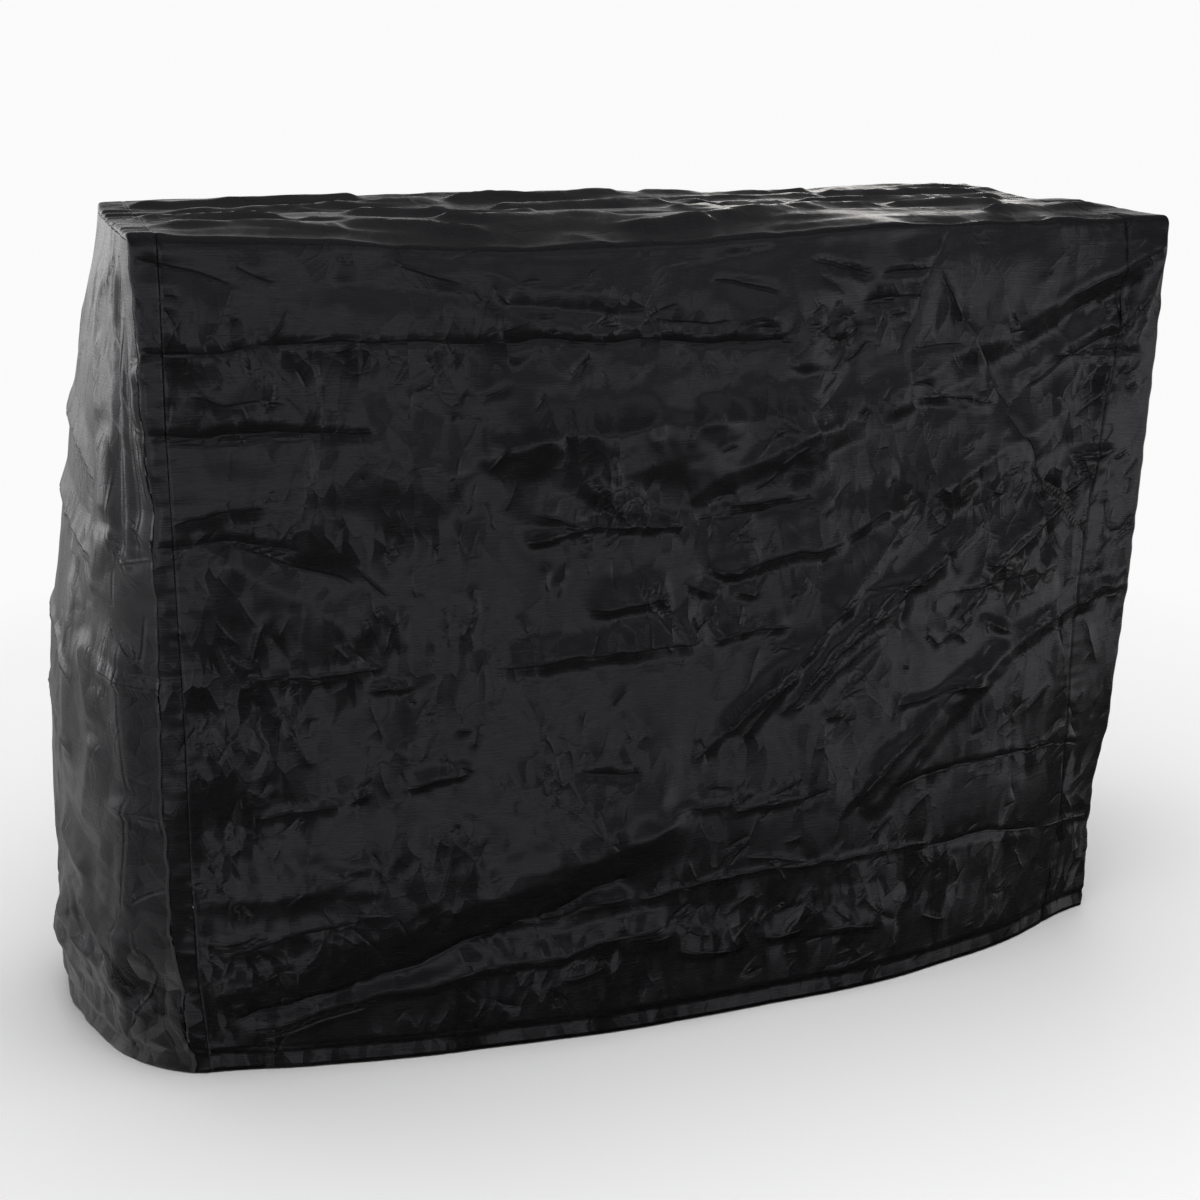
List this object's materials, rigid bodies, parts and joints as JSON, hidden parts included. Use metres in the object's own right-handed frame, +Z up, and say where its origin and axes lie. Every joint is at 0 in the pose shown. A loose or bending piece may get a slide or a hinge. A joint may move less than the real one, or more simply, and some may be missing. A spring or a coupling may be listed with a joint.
{
  "type": "table tennis table cover",
  "caption": "Fitted dark cover for a table tennis table stored folded upright: a long strip over front, top and back, sewn to flaring end panels, hollow and open at the foot.",
  "frame": {"origin": "middle of the underside of the cover's top, where the table inside holds it up", "axes": "+X along the cover's width towards its right end, -Y out of the front face, +Z up"},
  "size_m": [2.144, 0.8525, 1.4857],
  "materials": {
    "cover_cloth": "thin coated plain weave, slightly glossy"
  },
  "bodies": {
    "root": {"main_panel": "cover_cloth", "left_end_panel": "cover_cloth", "right_end_panel": "cover_cloth"}
  },
  "joints": []
}
